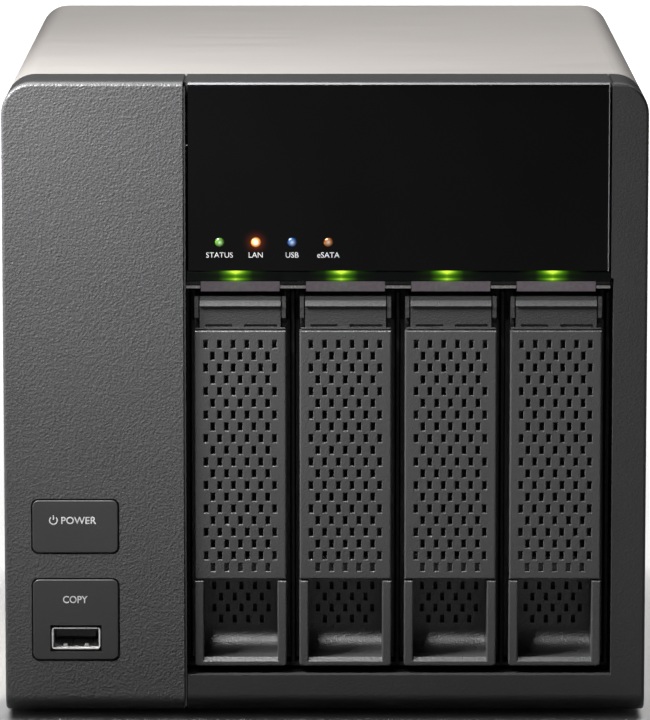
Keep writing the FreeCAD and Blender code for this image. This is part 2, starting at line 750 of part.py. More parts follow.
def make_controls():
    """Buttons, their board and switches, and the front USB socket."""
    make_button("power_button", "power_level", "power_height", POWER_SWITCH)
    copy = make_button("copy_button", "copy_level", "copy_height", COPY_SWITCH)
    block(copy, around(BUTTON_MID, "usb_wide / 2 + shell_play_x"), (BEFORE, f"{FRONT} + panel_depth"),
          around(up("usb_level"), "usb_tall / 2 + shell_play_z"), cut=True)

    shell = node("front_usb_shell")
    face = f"{FRONT} + shell_setback"
    block(shell, around(BUTTON_MID, "usb_wide / 2"), (face, BOARD_Y), around(up("usb_level"), "usb_tall / 2"))
    round_edges(shell, lambda e: runs(e, "y"), "shell_corner")
    block(shell, around(BUTTON_MID, "usb_wide / 2 - shell_wall"), (f"{face} - over", f"{BOARD_Y} + over"),
          around(up("usb_level"), "usb_tall / 2 - shell_wall"), cut=True)

    tongue = node("front_usb_tongue")
    room = "(shell_wall + thin_gap / 2)"
    block(tongue, around(BUTTON_MID, f"usb_wide / 2 - {room}"), (f"{BOARD_Y} - tongue_root", BOARD_Y),
          around(up("usb_level"), f"usb_tall / 2 - {room}"))
    block(tongue, around(BUTTON_MID, "tongue_half"),
          (f"{FRONT} + tongue_front", f"{BOARD_Y} - tongue_root + over"),
          (up("usb_level + tongue_low"), up("usb_level + tongue_high")))

    board = node("control_board")
    block(board, (f"{LEFT} + panel_wall", f"{BUTTON_RIGHT} + 6"), (BOARD_Y, f"{BOARD_Y} + board_wall"),
          (up("post_low - 2.5"), up("post_high + 3")))

    switches = node("tact_switches")
    for level in (POWER_SWITCH, COPY_SWITCH):
        block(switches, around(BUTTON_MID, "switch_half"), (f"{BOARD_Y} - switch_deep + over", BOARD_Y),
              around(up(level), "switch_half"))
        rod(switches, "Y", "switch_knob", (BUTTON_MID, up(level)),
            (f"{BOARD_Y} - switch_deep", f"{BOARD_Y} - switch_deep + over + bite"))


def make_window():
    """Gloss window over the status lamps, with the pegs it stands on."""
    window = node("status_window")
    left = f"{BAY_LEFT} + window_left"
    right = f"{BAY_RIGHT} - window_right"
    front = f"{FRONT} + window_setback"
    back = f"{FRONT} + window_depth"
    block(window, (left, right), (front, back), (up("bay_top + light_bar_height + window_gap"), TOP))
    round_edges(window, lambda e: runs(e, "x") and near(e, y=front, z=TOP), "window_edge")
    block(window, (f"{left} + clip_inset", f"{right} - clip_inset"), (f"{back} - bite", f"{back} + over"),
          (f"{TOP} - clip_low", f"{TOP} - clip_high"), cut=True)
    for x in (f"{left} + peg_inset", f"{right} - peg_inset"):
        rod(window, "Y", "peg_radius", (x, up("led_level + peg_rise")), (f"{back} - bite", LAMP_BOARD_Y))
    for index, label in enumerate(("status_led", "lan_led", "usb_led", "esata_led")):
        at = (f"{left} + led_margin + {index} * led_pitch", up("led_level"))
        rod(window, "Y", "led_radius + thin_gap / 2", at, (BEFORE, f"{back} + over"), cut=True)
        make_status_lamp(label, at)


def make_status_lamp(label, at):
    """Domed lamp that stands on the indicator board."""
    lamp = node(label)
    face = f"{FRONT} + led_setback"
    flange = f"{LAMP_BOARD_Y} - led_flange"
    rod(lamp, "Y", "led_radius", at, (face, flange))
    round_edges(lamp, lambda e: in_plane(e, "y", face), "led_radius * 0.6")
    rod(lamp, "Y", "led_radius + 0.3", at, (flange, LAMP_BOARD_Y))


def make_light_bar():
    """Tinted bar over the bays, the four lamps behind it and their board."""
    bar = node("light_bar")
    front = f"{FRONT} + window_setback"
    block(bar, (f"{BAY_LEFT} + 0.2", f"{BAY_RIGHT} - 0.8"), (front, f"{FRONT} + bar_depth"),
          (up("bay_top + 0.05"), up("bay_top + light_bar_height")))
    round_edges(bar, lambda e: runs(e, "x") and in_plane(e, "y", front), "bar_edge")

    lamps = node("bay_leds")
    for index in BAYS:
        block(lamps, around(f"{bay_mid(index)} - lamp_shift", "lamp_half"),
              (f"{LAMP_BOARD_Y} - over", LAMP_BOARD_Y), (up("bay_top + lamp_low"), up("bay_top + lamp_high")))

    board = node("indicator_board")
    block(board, (f"{BAY_LEFT} + 3", f"{BAY_RIGHT} - 4"), (LAMP_BOARD_Y, f"{LAMP_BOARD_Y} + board_wall"),
          (up("bay_top + 0.3"), up("bay_top + lamp_board_tall")))


def make_cage():
    """Drive cage: floor, roof with its front shelf, and five dividers."""
    wide = (CAGE_LEFT, CAGE_RIGHT)
    floor_top = up("tray_level - tray_gap")
    roof_low = up(f"{TRAY_TOP} + tray_gap")

    floor = node("cage_floor")
    block(floor, wide, (CAGE_FRONT, CAGE_REAR), (f"{floor_top} - cage_wall", floor_top))
    for leg in ((CAGE_LEFT, f"{CAGE_LEFT} + cage_wall"), (f"{CAGE_RIGHT} - cage_wall", CAGE_RIGHT)):
        block(floor, leg, (f"{SKIN} + 4", CAGE_REAR), (up("pan_wall"), f"{floor_top} - bite"))

    roof = node("cage_roof")
    riser = f"{TRAY_WALL} + 2"
    shelf = up("bay_top - shelf_drop")
    block(roof, wide, (riser, CAGE_REAR), (roof_low, f"{roof_low} + cage_wall"))
    block(roof, wide, (riser, f"{riser} + cage_wall"), (roof_low, shelf))
    block(roof, wide, (f"{FRONT} + shelf_depth", f"{riser} + cage_wall"), (f"{shelf} - cage_wall", shelf))
    for index in BAYS:
        block(roof, around(bay_mid(index), "shelf_lip_half"),
              (f"{FRONT} + shelf_depth - cage_wall", f"{FRONT} + shelf_depth"),
              (up("bay_top - shelf_lip_low"), up("bay_top - shelf_lip_high")))
    for index in range(5):
        middle = bay_edge(index)
        left = CAGE_LEFT if index == 0 else f"{middle} - shelf_bar_half"
        right = CAGE_RIGHT if index == 4 else f"{middle} + shelf_bar_half"
        block(roof, (left, right),
              (f"{FRONT} + shelf_depth - shelf_bar_proud", f"{FRONT} + shelf_depth + shelf_bar_seat"),
              (up("bay_top - shelf_bar_low"), up("bay_top - shelf_bar_high")))

    dividers = node("cage_dividers")
    for index in range(5):
        block(dividers, around(bay_edge(index), "divider_wall / 2"), (CAGE_FRONT, CAGE_REAR),
              (floor_top, roof_low))


def make_backplane():
    """Board across the rear of the cage with one connector for each drive."""
    plane = node("backplane_board")
    block(plane, (CAGE_LEFT, CAGE_RIGHT), (CAGE_REAR, f"{CAGE_REAR} + board_wall"),
          (up("tray_level - tray_gap - over"), up(f"{TRAY_TOP} + tray_gap + over")))
    plugs = node("drive_connectors")
    for index in BAYS:
        middle = bay_mid(index)
        block(plane, around(middle, "air_half"), (f"{CAGE_REAR} - over", f"{CAGE_REAR} + board_wall + over"),
              (up("air_bottom"), up("air_top")), cut=True)
        block(plugs, (f"{middle} - plug_inset", f"{middle} - plug_inset + plug_wide"),
              (f"{DRIVE_REAR} + bite", CAGE_REAR), (up("plug_low"), up("plug_high")))


def make_tray(index):
    """One drive carrier: finger scoop, front wall, rails and one side plate."""
    tray = node("tray_%d" % (index + 1), x=bay_mid(index))
    half = "(drive_thick / 2 + tray_margin)"
    base = up("tray_level")
    high = up(TRAY_TOP)
    long = (TRAY_WALL, f"{DRIVE_REAR} - tray_tail")
    block(tray, around("0", half), (TRAY_WALL, f"{TRAY_WALL} + front_wall"), (base, high))
    block(tray, around("0", half), long, (base, f"{base} + rail_wall"))
    block(tray, around("0", half), long, (f"{high} - rail_wall", high))
    block(tray, (f"-{half}", f"-{half} + tray_wall"), long, (base, high))
    block(tray, (f"-{half} - over", f"-{half} + tray_wall + thin_gap"),
          (f"{DRIVE_FRONT} + side_rim", f"{DRIVE_REAR} - tray_tail - side_rim"),
          (f"{base} + side_rim", f"{high} - side_rim"), cut=True)
    cut_scoop(tray, base)
    add_cheeks(tray, base, high)
    block(tray, around("0", "air_half"), (f"{TRAY_WALL} - over", f"{TRAY_WALL} + front_wall + bite"),
          (up(f"{LEVER_FOOT} + air_low"), f"{PIVOT_Z} - air_high"), cut=True)
    # counterbored screw holes in both rails
    room = "screw_head + head_play"
    for place in [(SCREW_X, y) for y in SCREW_Y]:
        rod(tray, "Z", room, place, (f"{base} - over", f"{base} + head_sink"), cut=True)
        rod(tray, "Z", "screw_bore", place, (base, f"{base} + rail_wall + bite"), cut=True)
        rod(tray, "Z", room, place, (f"{high} - head_sink", f"{high} + over"), cut=True)
        rod(tray, "Z", "screw_bore", place, (f"{high} - rail_wall - bite", high), cut=True)


def cut_scoop(tray, base):
    """Finger scoop in front of the tray's wall, with a curved floor and slots in its back."""
    wide = around("0", "scoop_width / 2")
    sill = f"{base} + scoop_sill"
    above = f"{base} + scoop_height + over"
    before = f"{TRAY_FRONT} - over"
    block(tray, around("0", f"{FACE_HALF} + frame_reach"), (TRAY_FRONT, f"{TRAY_WALL} + over"),
          (base, f"{base} + scoop_height"))
    block(tray, wide, (before, TRAY_WALL), (f"{sill} + scoop_radius", above), cut=True)
    block(tray, wide, (before, f"{TRAY_WALL} - scoop_radius"), (sill, above), cut=True)
    rod(tray, "X", "scoop_radius", (f"{TRAY_WALL} - scoop_radius", f"{sill} + scoop_radius"), wide, cut=True)
    round_edges(tray, lambda e: runs(e, "y") and near(e, y=f"({TRAY_FRONT} + {TRAY_WALL}) / 2", z=base), "1")
    bevel_edges(tray, lambda e: in_plane(e, "y", TRAY_FRONT) and near(e, x="0", z=sill), "lip_chamfer")
    round_edges(tray, lambda e: in_plane(e, "y", TRAY_FRONT) and not near(e, x="0"), "frame_edge")
    for row in range(4):
        count = 5 - row % 2
        first = f"-slot_column * {(count - 1) / 2}"
        level = f"{base} + scoop_slot_top - {row} * scoop_slot_row"
        slot = block(tray, around(first, "slot_wide / 2"),
                     (f"{TRAY_WALL} - 3", f"{TRAY_WALL} + front_wall + bite"),
                     around(level, "slot_tall / 2"), cut=True)
        repeat(tray, [slot], "X", "slot_column", count)


def add_cheeks(tray, base, high):
    """Cheeks that carry the lever pin, and the ears beside the lever's toe."""
    wall = f"{TRAY_WALL} + over"
    for side in SIDES:
        cheek = flank(side, f"{FACE_HALF} - cheek_inset", f"{FACE_HALF} - cheek_inset - cheek_wall")
        block(tray, cheek, (f"{LEVER_BACK} + cheek_gap", wall), (f"{base} + cheek_low", PIVOT_Z))
        block(tray, cheek, (PIVOT_Y, wall), (f"{PIVOT_Z} - over", f"{PIVOT_Z} + knuckle_radius"))
        rod(tray, "X", "knuckle_radius", (PIVOT_Y, PIVOT_Z), cheek)
        bore = (f"{cheek[0]} - bite", f"{cheek[1]} + bite")
        rod(tray, "X", "pin_radius + pin_fit", (PIVOT_Y, PIVOT_Z), bore, cut=True)
        ear = flank(side, f"{FACE_HALF} - ear_inset", f"{FACE_HALF} - ear_inset - ear_wall")
        block(tray, ear, (f"{PIVOT_Y} + ear_clear_y", wall), (f"{PIVOT_Z} + ear_rise", high))
        block(tray, ear, (f"{TRAY_FRONT} + ear_setback", wall), (f"{PIVOT_Z} + ear_clear_z", high))


def make_drive(index):
    """Hard disk drive standing on its long edge, with its four screws."""
    drive = node("drive_%d" % (index + 1), x=bay_mid(index))
    left = "(-drive_thick / 2 + drive_shift)"
    right = "(drive_thick / 2 + drive_shift)"
    low = up("tray_level + rail_wall + tray_gap")
    high = f"{low} + drive_tall"
    block(drive, (left, right), (DRIVE_FRONT, DRIVE_REAR), (low, high))
    round_edges(drive, lambda e: runs(e, "x"), "drive_edge")
    block(drive, (f"{right} - drive_step", f"{right} + over"),
          (f"{DRIVE_FRONT} - over", f"{DRIVE_FRONT} + drive_lid_end"), (f"{low} - over", f"{high} + over"),
          cut=True)
    block(drive, (f"{left} - over", f"{left} + drive_lid"),
          (f"{DRIVE_FRONT} + drive_lid_start", f"{DRIVE_REAR} - drive_lid_end"),
          (f"{low} + drive_lid_rim", f"{high} - drive_lid_rim"), cut=True)
    block(drive, (f"{left} + thin_gap", f"{left} + drive_lid - cheek_gap"),
          (f"{DRIVE_FRONT} + drive_lid_start + over", f"{DRIVE_REAR} - drive_lid_end + drive_board_gap"),
          (f"{low} + drive_lid_rim + over", f"{high} - drive_lid_rim - over"))
    for y in SCREW_Y:
        for span in ((f"{low} - over", f"{low} + 4"), (f"{high} - 4", f"{high} + over")):
            rod(drive, "Z", "shank_radius + thin_gap / 2", (SCREW_X, y), span, cut=True)

    screws = node("drive_screws_%d" % (index + 1), x=bay_mid(index))
    base = up("tray_level")
    top = up(TRAY_TOP)
    for y in SCREW_Y:
        rod(screws, "Z", "screw_head", (SCREW_X, y), (f"{base} + thin_gap", f"{base} + head_sink"))
        rod(screws, "Z", "shank_radius", (SCREW_X, y), (f"{base} + over", f"{base} + shank_long"))
        rod(screws, "Z", "screw_head", (SCREW_X, y), (f"{top} - head_sink", f"{top} - thin_gap"))
        rod(screws, "Z", "shank_radius", (SCREW_X, y), (f"{top} - shank_long", f"{top} - over"))


def make_lever(index):
    """Perforated eject lever with its toe, and the pin it turns on."""
    lever = node("lever_%d" % (index + 1), x=bay_mid(index))
    face = around("0", FACE_HALF)
    head = up(LEVER_TOP)
    block(lever, face, (TRAY_FRONT, LEVER_BACK), (up(LEVER_FOOT), head))
    round_edges(lever, lambda e: in_plane(e, "y", TRAY_FRONT), "lever_edge")
    add_toe(lever, head)
    for side in SIDES:
        hook = flank(side, f"{FACE_HALF} - hook_inset", f"{FACE_HALF} - hook_inset - hook_wall")
        block(lever, hook, (f"{LEVER_BACK} - cheek_gap", PIVOT_Y),
              (f"{PIVOT_Z} - hook_low", f"{PIVOT_Z} + hook_high"))
        rod(lever, "X", "hook_radius", (PIVOT_Y, PIVOT_Z), hook)
        bore = (f"{hook[0]} - bite", f"{hook[1]} + bite")
        rod(lever, "X", "pin_radius + thin_gap / 2", (PIVOT_Y, PIVOT_Z), bore, cut=True)
    for columns, first_row in ((6, 0), (5, 1)):
        lowest = f"{head} - slot_top - {first_row + 18} * slot_row"
        cut_slots(lever, f"-slot_column * {(columns - 1) / 2}", lowest, columns)

    pin = node("lever_pin_%d" % (index + 1), x=bay_mid(index))
    rod(pin, "X", "pin_radius", (PIVOT_Y, PIVOT_Z), around("0", f"{FACE_HALF} - cheek_gap"))


def add_toe(lever, head):
    """Toe above the lever's pivot: recessed face, sloped lip, ridge and two slots."""
    toe = around("0", "toe_width / 2")
    face = f"{TRAY_FRONT} + toe_recess"
    low = f"{head} + toe_gap"
    high = f"{low} + toe_height"
    block(lever, toe, (face, LEVER_BACK), (low, high))
    taper_up(lever, toe, (TRAY_FRONT, LEVER_BACK), (f"{TRAY_FRONT} + lip_slope", LEVER_BACK),
             (f"{high} - lip_height", high))
    block(lever, around("0", "toe_width / 2 - over"), (f"{LEVER_BACK} - neck_wall", LEVER_BACK),
          (f"{head} - neck_drop", f"{low} + neck_rise"))
    block(lever, around("0", f"{FACE_HALF} - rib_inset"), (f"{TRAY_FRONT} + rib_inset", LEVER_BACK),
          (f"{low} - rib_height", low))
    for middle, reach in (("-6", "3.8"), ("5.7", "4.6")):
        block(lever, around(middle, reach), (f"{TRAY_FRONT} - over", f"{face} + toe_slot_deep"),
              (f"{low} + toe_slot_low", f"{low} + toe_slot_high"), cut=True)


def cut_slots(lever, left, lowest, columns):
    """Ten rows of slots through the lever, two slot rows apart, each with a flared mouth."""
    slot = block(lever, around(left, "slot_wide / 2"), (f"{TRAY_FRONT} - over", f"{LEVER_BACK} + over"),
                 around(lowest, "slot_tall / 2"), cut=True)
    mouth = wedge(lever, True, around(left, "slot_wide / 2 + slot_bevel * 1.1"),
                  (f"{TRAY_FRONT} - slot_bevel * 0.1", f"{TRAY_FRONT} + slot_bevel"),
                  around(lowest, "slot_tall / 2 + slot_bevel * 1.1"),
                  around(left, "slot_wide / 2"), around(lowest, "slot_tall / 2"))
    repeat_grid(lever, [slot, mouth], "slot_column", "2 * slot_row", columns, 10)


def make_main_board():
    """Main board on standoffs beside the cage, with its parts and heat sink."""
    board = node("mainboard")
    block(board, (MAIN_X, f"{MAIN_X} + board_wall"), ("-board_front", f"{PLATE_IN} - 2"),
          (up("board_low"), up("board_high")))
    for y, level, long, tall, rise in BOARD_PARTS:
        block(board, (f"{MAIN_X} - {rise}", f"{MAIN_X} + bite"), around(str(y), f"{long} / 2"),
              around(up(str(level)), f"{tall} / 2"))

    sink = node("heatsink")
    base = f"{MAIN_X} - chip_rise"
    long = ("-sink_front", "sink_rear")
    block(sink, (f"{base} - sink_base", base), long, (up("sink_low"), up("sink_low + sink_tall")))
    fin = block(sink, (f"{base} - sink_rise", f"{base} - sink_base + bite"), long,
                (up("sink_low"), up("sink_low + fin_wall")))
    repeat(sink, [fin], "Z", "fin_step", 11)

    posts = node("standoffs")
    for y in ("-board_front + 6", "84"):
        for level in ("board_low + 6", "board_high - 24"):
            rod(posts, "X", "post_thick", (y, up(level)), (f"{MAIN_X} + board_wall", CAGE_LEFT))


def make_sockets():
    """Network, USB and eSATA sockets at the rear edge of the main board."""
    face = f"{PLATE_OUT} + socket_proud"

    def room(port, deep, low, high, middle, half):
        block(port, (f"{MAIN_X} - {high}", f"{MAIN_X} - {low}"), (f"{face} - {deep}", f"{face} + over"),
              around(middle, half), cut=True)

    def tongue(port, deep, low, high, middle):
        block(port, (f"{MAIN_X} - {high}", f"{MAIN_X} - {low}"), (f"{face} - {deep}", f"{face} - over"),
              around(middle, "tongue_half"))

    for label, sockets, long in (("network_ports", NETWORK_SOCKETS, 21), ("rear_usb_ports", USB_SOCKETS, 14),
                                 ("esata_ports", ESATA_SOCKETS, 13)):
        port = node(label)
        for tall, wide, level in sockets:
            block(port, (f"{MAIN_X} - {tall}", MAIN_X), (f"{face} - {long}", face),
                  around(up(level), f"{wide} / 2"))
            if label == "network_ports":
                room(port, 14, 3, 10.5, up(level), "6")
                room(port, 11, 9, 12.4, up(level), "3")
            elif label == "rear_usb_ports":
                room(port, 10, 0.7, 6.3, up(level), "6.4")
                tongue(port, 11, 1.6, 3.4, up(level))
            else:
                room(port, 8, 0.8, 4.8, up(level), "7.2")
                tongue(port, 9, 2, 3.2, up(level))


def make_fan():
    """Rear cooling fan: frame and rotor."""
    frame = node("fan_frame", x=CAGE_MID, y=PLATE_IN, z=up("fan_level"))
    square = around("0", "fan_size / 2")
    through = ("-fan_thick - over", "over")
    block(frame, square, ("-fan_thick", "0"), square)
    round_edges(frame, lambda e: runs(e, "y"), "fan_corner")
    rod(frame, "Y", "fan_bore", ("0", "0"), through, cut=True)
    rod(frame, "Y", "fan_hub", ("0", "0"), ("-fan_plate", "0"))
    strut = around("0", "fan_bore + over")
    thin = around("0", "fan_strut")
    for x, z in ((strut, thin), (thin, strut)):
        block(frame, x, ("-fan_plate", "-bite"), z)
    for at in corners("fan_hole"):
        rod(frame, "Y", "fan_screw_bore - thin_gap", at, through, cut=True)

    rotor = node("fan_rotor", x=CAGE_MID, y=PLATE_IN, z=up("fan_level"))
    front = "-fan_thick + rotor_front"
    rod(rotor, "Y", "fan_hub", ("0", "0"), (front, "-rotor_back"))
    round_edges(rotor, lambda e: in_plane(e, "y", front), "rotor_edge")
    add_blades(rotor, "fan_hub", "fan_bore - blade_gap", f"{front} + blade_inset", "-rotor_back - 0.4")


def make_guard():
    """Wire guard over the fan and the four screws that hold it."""
    guard = node("fan_guard", x=CAGE_MID, y=PLATE_OUT, z=up("fan_level"))
    for index in range(5):
        ring = guard.newObject("PartDesign::AdditiveTorus", "ring")
        ring.Placement = FreeCAD.Placement(FreeCAD.Vector(), TURN["Y"])
        ring.setExpression("Radius1", bind(f"guard_ring + {index} * guard_step"))
        ring.setExpression("Radius2", bind("guard_wire"))
        ring.setExpression("Placement.Base.y", bind("guard_wire"))
        if index == 0:
            add_spokes(guard)
    for at in corners("fan_hole"):
        rod(guard, "Y", "washer_radius", at, ("0.02", "1.2"))
        rod(guard, "Y", "fan_screw_bore", at, ("-over", "3"), cut=True)

    screws = node("fan_screws", x=CAGE_MID, y=PLATE_OUT, z=up("fan_level"))
    for at in corners("fan_hole"):
        rod(screws, "Y", "screw_cap_radius", at, ("1.25", "2.9"))
        rod(screws, "Y", "screw_shaft", at, ("-11", "1.5"))


def add_spokes(guard):
    """Two flat spokes across the guard, from screw to screw."""
    for angle in (45, 135):
        spoke = guard.newObject("PartDesign::AdditiveBox", "spoke")
        spoke.setExpression("Length", bind("2 * sqrt(2) * fan_hole"))
        spoke.setExpression("Width", bind("spoke_wide"))
        spoke.setExpression("Height", bind("spoke_thick"))
        rotation = FreeCAD.Rotation(Y_AXIS, angle)
        corner = FreeCAD.Vector(-value("sqrt(2) * fan_hole"), value("thin_gap"), -value("spoke_thick / 2"))
        spoke.Placement = FreeCAD.Placement(rotation.multVec(corner), rotation)


def add_blades(rotor, hub, tip, front, back):
    """Seven twisted flat blades round a hub."""
    blade = rotor.newObject("PartDesign::AdditiveBox", "blade")
    long = f"(({back}) - ({front})) * 0.94"
    blade.setExpression("Length", bind("blade_wall"))
    blade.setExpression("Width", bind(long))
    blade.setExpression("Height", bind(f"{tip} - {hub} + 2"))
    twist = FreeCAD.Rotation(Z_AXIS, 28)
    middle = FreeCAD.Vector(0, value(f"({front} + {back}) / 2"), value(f"{hub} - 2"))
    corner = FreeCAD.Vector(-value("blade_wall / 2"), -value(long) / 2, 0)
    blade.Placement = FreeCAD.Placement(middle + twist.multVec(corner), twist)
    spin(rotor, blade, "Y", 7)


def make_power():
    """Internal power supply with its own fan."""
    case = node("psu_case", x=CAGE_MID, y=PLATE_IN, z=up("psu_level"))
    wide = around("0", "psu_wide / 2")
    middle = "psu_tall / 2"
    block(case, wide, ("-psu_long", "0"), ("0", "psu_tall"))
    block(case, around("0", "psu_wide / 2 - psu_wall"), ("-psu_long + psu_wall", "-psu_wall"),
          ("psu_wall", "psu_tall - psu_wall"), cut=True)
    rod(case, "Y", "psu_bore", (PSU_FAN_X, middle), ("-4", "over"), cut=True)
    rod(case, "Y", "psu_seat", (PSU_FAN_X, middle), ("-2.4", "0"))
    for across, along in (("psu_strut_reach", "psu_strut"), ("psu_strut", "psu_strut_reach - thin_gap")):
        block(case, around(PSU_FAN_X, across), ("-1.6", "-0.4"), around(middle, along))
    block(case, around(INLET_X, "inlet_half + inlet_gap"), ("-4", "over"),
          around(middle, "inlet_high + inlet_gap"), cut=True)
    vent = block(case, ("-psu_vent_reach", "-psu_vent_reach + psu_vent_wide"),
                 ("-psu_long - over", "-psu_long + psu_wall + over"),
                 ("psu_vent_rim", "psu_tall - psu_vent_rim"), cut=True)
    repeat(case, [vent], "X", "psu_vent_step", 11)

    rotor = node("psu_fan_rotor", x=f"{CAGE_MID} + {PSU_FAN_X}", y=PLATE_IN, z=up(f"psu_level + {middle}"))
    rod(rotor, "Y", "psu_hub", ("0", "0"), ("-13", "-3"))
    add_blades(rotor, "psu_hub", "psu_bore - psu_blade_gap", "-12.6", "-3.4")


def make_inlet():
    """Mains inlet with its three blades."""
    inlet = node("power_inlet", x=CAGE_MID, y=PLATE_IN, z=up("psu_level + psu_tall / 2"))
    block(inlet, around(INLET_X, "inlet_half"), ("-inlet_deep", "inlet_rim"), around("0", "inlet_high"))
    block(inlet, around(INLET_X, "inlet_half + inlet_rim"), ("thin_gap / 5", "inlet_rim"),
          around("0", "inlet_high + inlet_rim"))
    block(inlet, around(INLET_X, "inlet_half - inlet_wall"), ("-14", "inlet_rim + over"),
          around("0", "inlet_high - 1.9"), cut=True)
    for x, z in (("-7", "-1"), ("0", "3"), ("7", "-1")):
        block(inlet, around(f"{INLET_X} + {x}", "1"), ("-15", "-1"), around(z, "2"))


def make_fixings():
    """Rubber feet under the pan and the screws that hold the cover."""
    feet = node("feet")
    for side in SIDES:
        for y in (f"{SKIN} + foot_front", f"{REAR} - foot_rear"):
            rod(feet, "Z", "foot_radius", (f"{side} * (body_width / 2 - foot_inset)", y), ("0", "foot_drop"))
    round_edges(feet, lambda e: in_plane(e, "z", "0"), "foot_edge")

    screws = node("cover_screws")
    for place in fixing_places():
        rod(screws, "Y", "screw_head + skin_gap", place, (PLATE_OUT, f"{PLATE_OUT} + 1.9"))
        rod(screws, "Y", "shank_radius", place, (f"{PLATE_IN} - 4", f"{PLATE_OUT} + bite"))


make_cover()
make_pan()
make_rear_panel()
make_bezel()
make_control_panel()
make_controls()
make_window()
make_light_bar()
make_cage()
make_backplane()
make_main_board()
make_sockets()
make_fan()
make_guard()
make_power()
make_inlet()
make_fixings()
for bay in BAYS:
    make_tray(bay)
    make_lever(bay)
    make_drive(bay)

doc.recompute()

os.makedirs("parts", exist_ok=True)
faults = []
for thing in doc.Objects:
    if "Invalid" in thing.State or "Error" in thing.State:
        faults.append("%s: %s" % (thing.Name, thing.State))
for piece in NODES:
    shape = piece.Shape
    if shape.isNull() or not shape.isValid() or not shape.Solids:
        faults.append("%s: bad shape" % piece.Label)
    else:
        shape.exportStep("parts/%s.step" % piece.Label)
if faults:
    raise RuntimeError("faults in the model: " + "; ".join(faults))
print("built %d pieces" % len(NODES))
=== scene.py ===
import math

import bmesh
import bpy
from mathutils import Matrix, Vector


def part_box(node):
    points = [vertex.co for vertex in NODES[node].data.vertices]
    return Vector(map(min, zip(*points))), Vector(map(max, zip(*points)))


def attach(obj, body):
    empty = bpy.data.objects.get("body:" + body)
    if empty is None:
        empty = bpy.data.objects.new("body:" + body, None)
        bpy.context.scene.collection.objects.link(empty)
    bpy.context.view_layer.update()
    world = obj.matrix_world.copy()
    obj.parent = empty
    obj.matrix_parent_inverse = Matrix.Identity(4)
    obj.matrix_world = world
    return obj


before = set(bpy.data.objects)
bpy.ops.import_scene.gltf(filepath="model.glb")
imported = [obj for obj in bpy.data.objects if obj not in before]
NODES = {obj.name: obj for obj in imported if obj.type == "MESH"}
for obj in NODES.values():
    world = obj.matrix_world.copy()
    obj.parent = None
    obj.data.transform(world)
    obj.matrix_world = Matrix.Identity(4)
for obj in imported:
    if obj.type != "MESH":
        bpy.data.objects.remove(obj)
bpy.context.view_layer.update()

# Four-bay network storage enclosure: materials, lettering, contact springs and studio.
# Metres, +Z up, front faces -Y.

MM = 0.001
BAYS = range(1, 5)


def centre(node):
    low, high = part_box(node)
    return (low + high) / 2


def per_bay(stem):
    return ["%s_%d" % (stem, n) for n in BAYS]


# ---------------------------------------------------------------- material tools

def srgb(r, g, b):
    """Linear colour from 0..255 display values."""
    def lin(c):
        c = c / 255
        return c / 12.92 if c <= 0.04045 else ((c + 0.055) / 1.055) ** 2.4
    return (lin(r), lin(g), lin(b), 1.0)


def grey(level):
    return srgb(level, level, level)


def scaled(tone, factor):
    return tuple(min(1.0, c * factor) for c in tone[:3]) + (1.0,)


